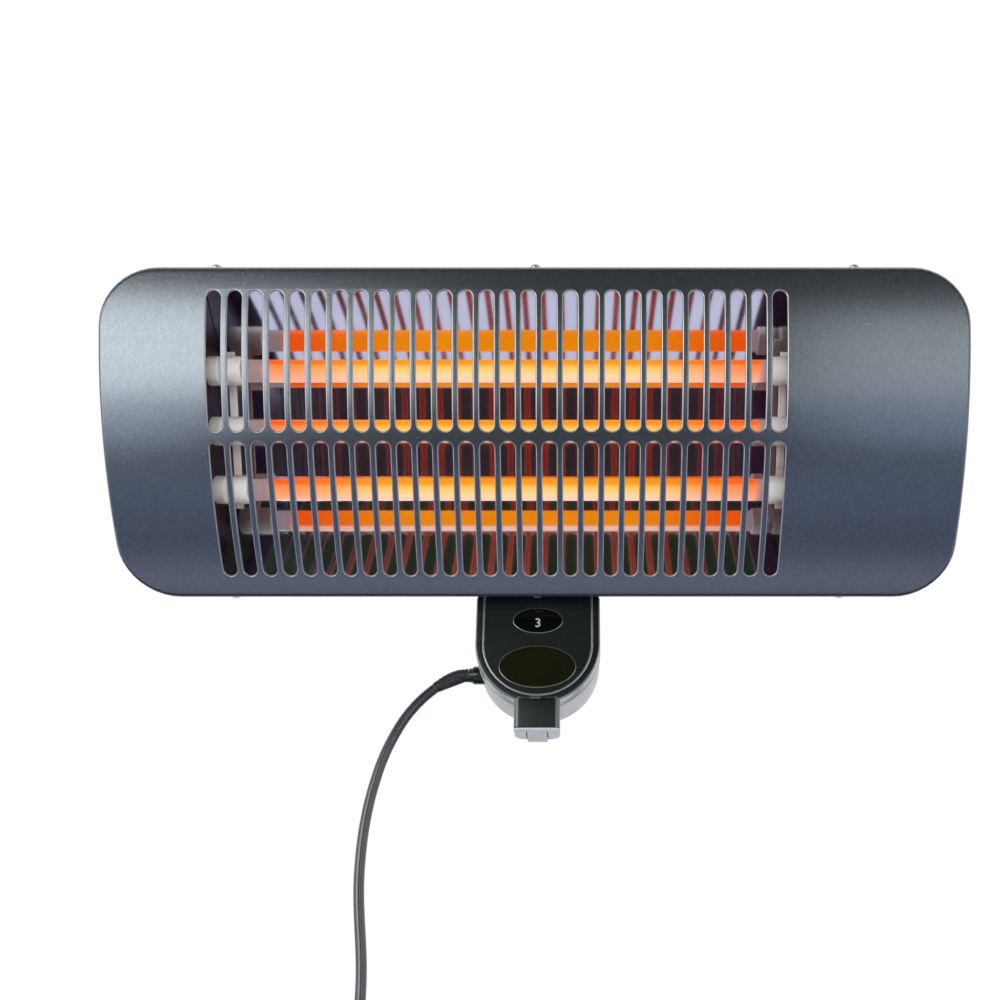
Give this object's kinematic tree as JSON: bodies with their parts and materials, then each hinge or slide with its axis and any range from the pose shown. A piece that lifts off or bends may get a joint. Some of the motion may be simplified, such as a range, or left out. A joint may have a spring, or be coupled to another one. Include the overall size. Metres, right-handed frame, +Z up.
{
  "type": "electric bar heater",
  "caption": "Wall-hung electric heater: a bowed slotted front over glowing quartz tubes, on a tilting bracket above a control box with a display, rocker switch and mains lead.",
  "frame": {"origin": "centre of the wall face, on the back of the wall bracket", "axes": "+X to the right seen from the front, +Y into the wall, +Z up"},
  "size_m": [0.52, 0.1755, 0.6169],
  "materials": {
    "panel_paint": "satin metallic anthracite",
    "black_sheet": "satin black powder coat",
    "polished_reflector": "polished",
    "plain_steel": "plain zinc",
    "white_ceramic": "unglazed white",
    "milky_quartz": "milky quartz, lit from inside",
    "heating_wire": "glowing resistance wire",
    "glass_fibre_sleeve": "glass-fibre sleeve",
    "brass": "bare",
    "black_plastic": "semi-gloss",
    "dark_window": "smoked gloss",
    "pale_plastic": "fine texture",
    "board_green": "solder mask",
    "relay_blue": "moulded",
    "cord_jacket": "smooth jacket"
  },
  "bodies": {
    "base": {"wall_bracket": "black_sheet", "pivot_bolt_left": "plain_steel", "pivot_bolt_right": "plain_steel", "control_box_shell": "pale_plastic", "control_box_cover": "black_plastic", "display_window": "dark_window", "receiver_window": "dark_window", "display_digit": "pale_plastic", "box_screw_left": "plain_steel", "box_screw_right": "plain_steel", "control_board": "board_green", "relay": "relay_blue", "switch_block": "black_plastic", "switch_bezel": "pale_plastic", "cable_gland": "black_plastic", "box_lead": "cord_jacket", "power_cord": "cord_jacket", "cord_coil": "cord_jacket", "cord_tie": "black_plastic", "plug_body": "black_plastic", "plug_pin_left": "brass", "plug_pin_right": "brass"},
    "head": {"bottom_screw_centre": "plain_steel", "bottom_screw_left": "plain_steel", "bottom_screw_right": "plain_steel", "cap_rail_left": "white_ceramic", "cap_rail_right": "white_ceramic", "front_panel": "panel_paint", "head_lead": "cord_jacket", "heating_coil_bottom": "heating_wire", "heating_coil_middle": "heating_wire", "heating_coil_top": "heating_wire", "neutral_link_strip": "brass", "quartz_tube_bottom": "milky_quartz", "quartz_tube_middle": "milky_quartz", "quartz_tube_top": "milky_quartz", "rear_housing": "black_sheet", "reflector": "polished_reflector", "reflector_end_left": "plain_steel", "reflector_end_right": "plain_steel", "supply_lead_bottom": "glass_fibre_sleeve", "supply_lead_middle": "glass_fibre_sleeve", "supply_lead_top": "glass_fibre_sleeve", "terminal_block": "white_ceramic", "thermal_cutout": "black_plastic", "tilt_bracket": "black_sheet", "tilt_bracket_screw_left": "plain_steel", "tilt_bracket_screw_right": "plain_steel", "top_screw_centre": "plain_steel", "top_screw_left": "plain_steel", "top_screw_right": "plain_steel", "tube_cap_left_bottom": "white_ceramic", "tube_cap_left_middle": "white_ceramic", "tube_cap_left_top": "white_ceramic", "tube_cap_right_bottom": "white_ceramic", "tube_cap_right_middle": "white_ceramic", "tube_cap_right_top": "white_ceramic"},
    "rocker": {"rocker_switch": "pale_plastic"},
    "left_knob": {"clamp_knob_left": "black_plastic"},
    "right_knob": {"clamp_knob_right": "black_plastic"}
  },
  "joints": [
    {"name": "head_tilt", "type": "hinge", "parent": "base", "child": "head", "pos_m": [0, -0.04983, 0.06843], "axis": [1, 0, 0], "range_deg": [-30, 0]},
    {"name": "power_rocker", "type": "hinge", "parent": "base", "child": "rocker", "pos_m": [0, -0.042, -0.1163], "axis": [1, 0, 0], "range_deg": [0, 16]},
    {"name": "left_knob_turn", "type": "hinge", "parent": "base", "child": "left_knob", "pos_m": [-0.0668, -0.04983, 0.06843], "axis": [-1, 0, 0], "range_deg": [0, 360]},
    {"name": "right_knob_turn", "type": "hinge", "parent": "base", "child": "right_knob", "pos_m": [0.0668, -0.04983, 0.06843], "axis": [1, 0, 0], "range_deg": [0, 360]}
  ]
}
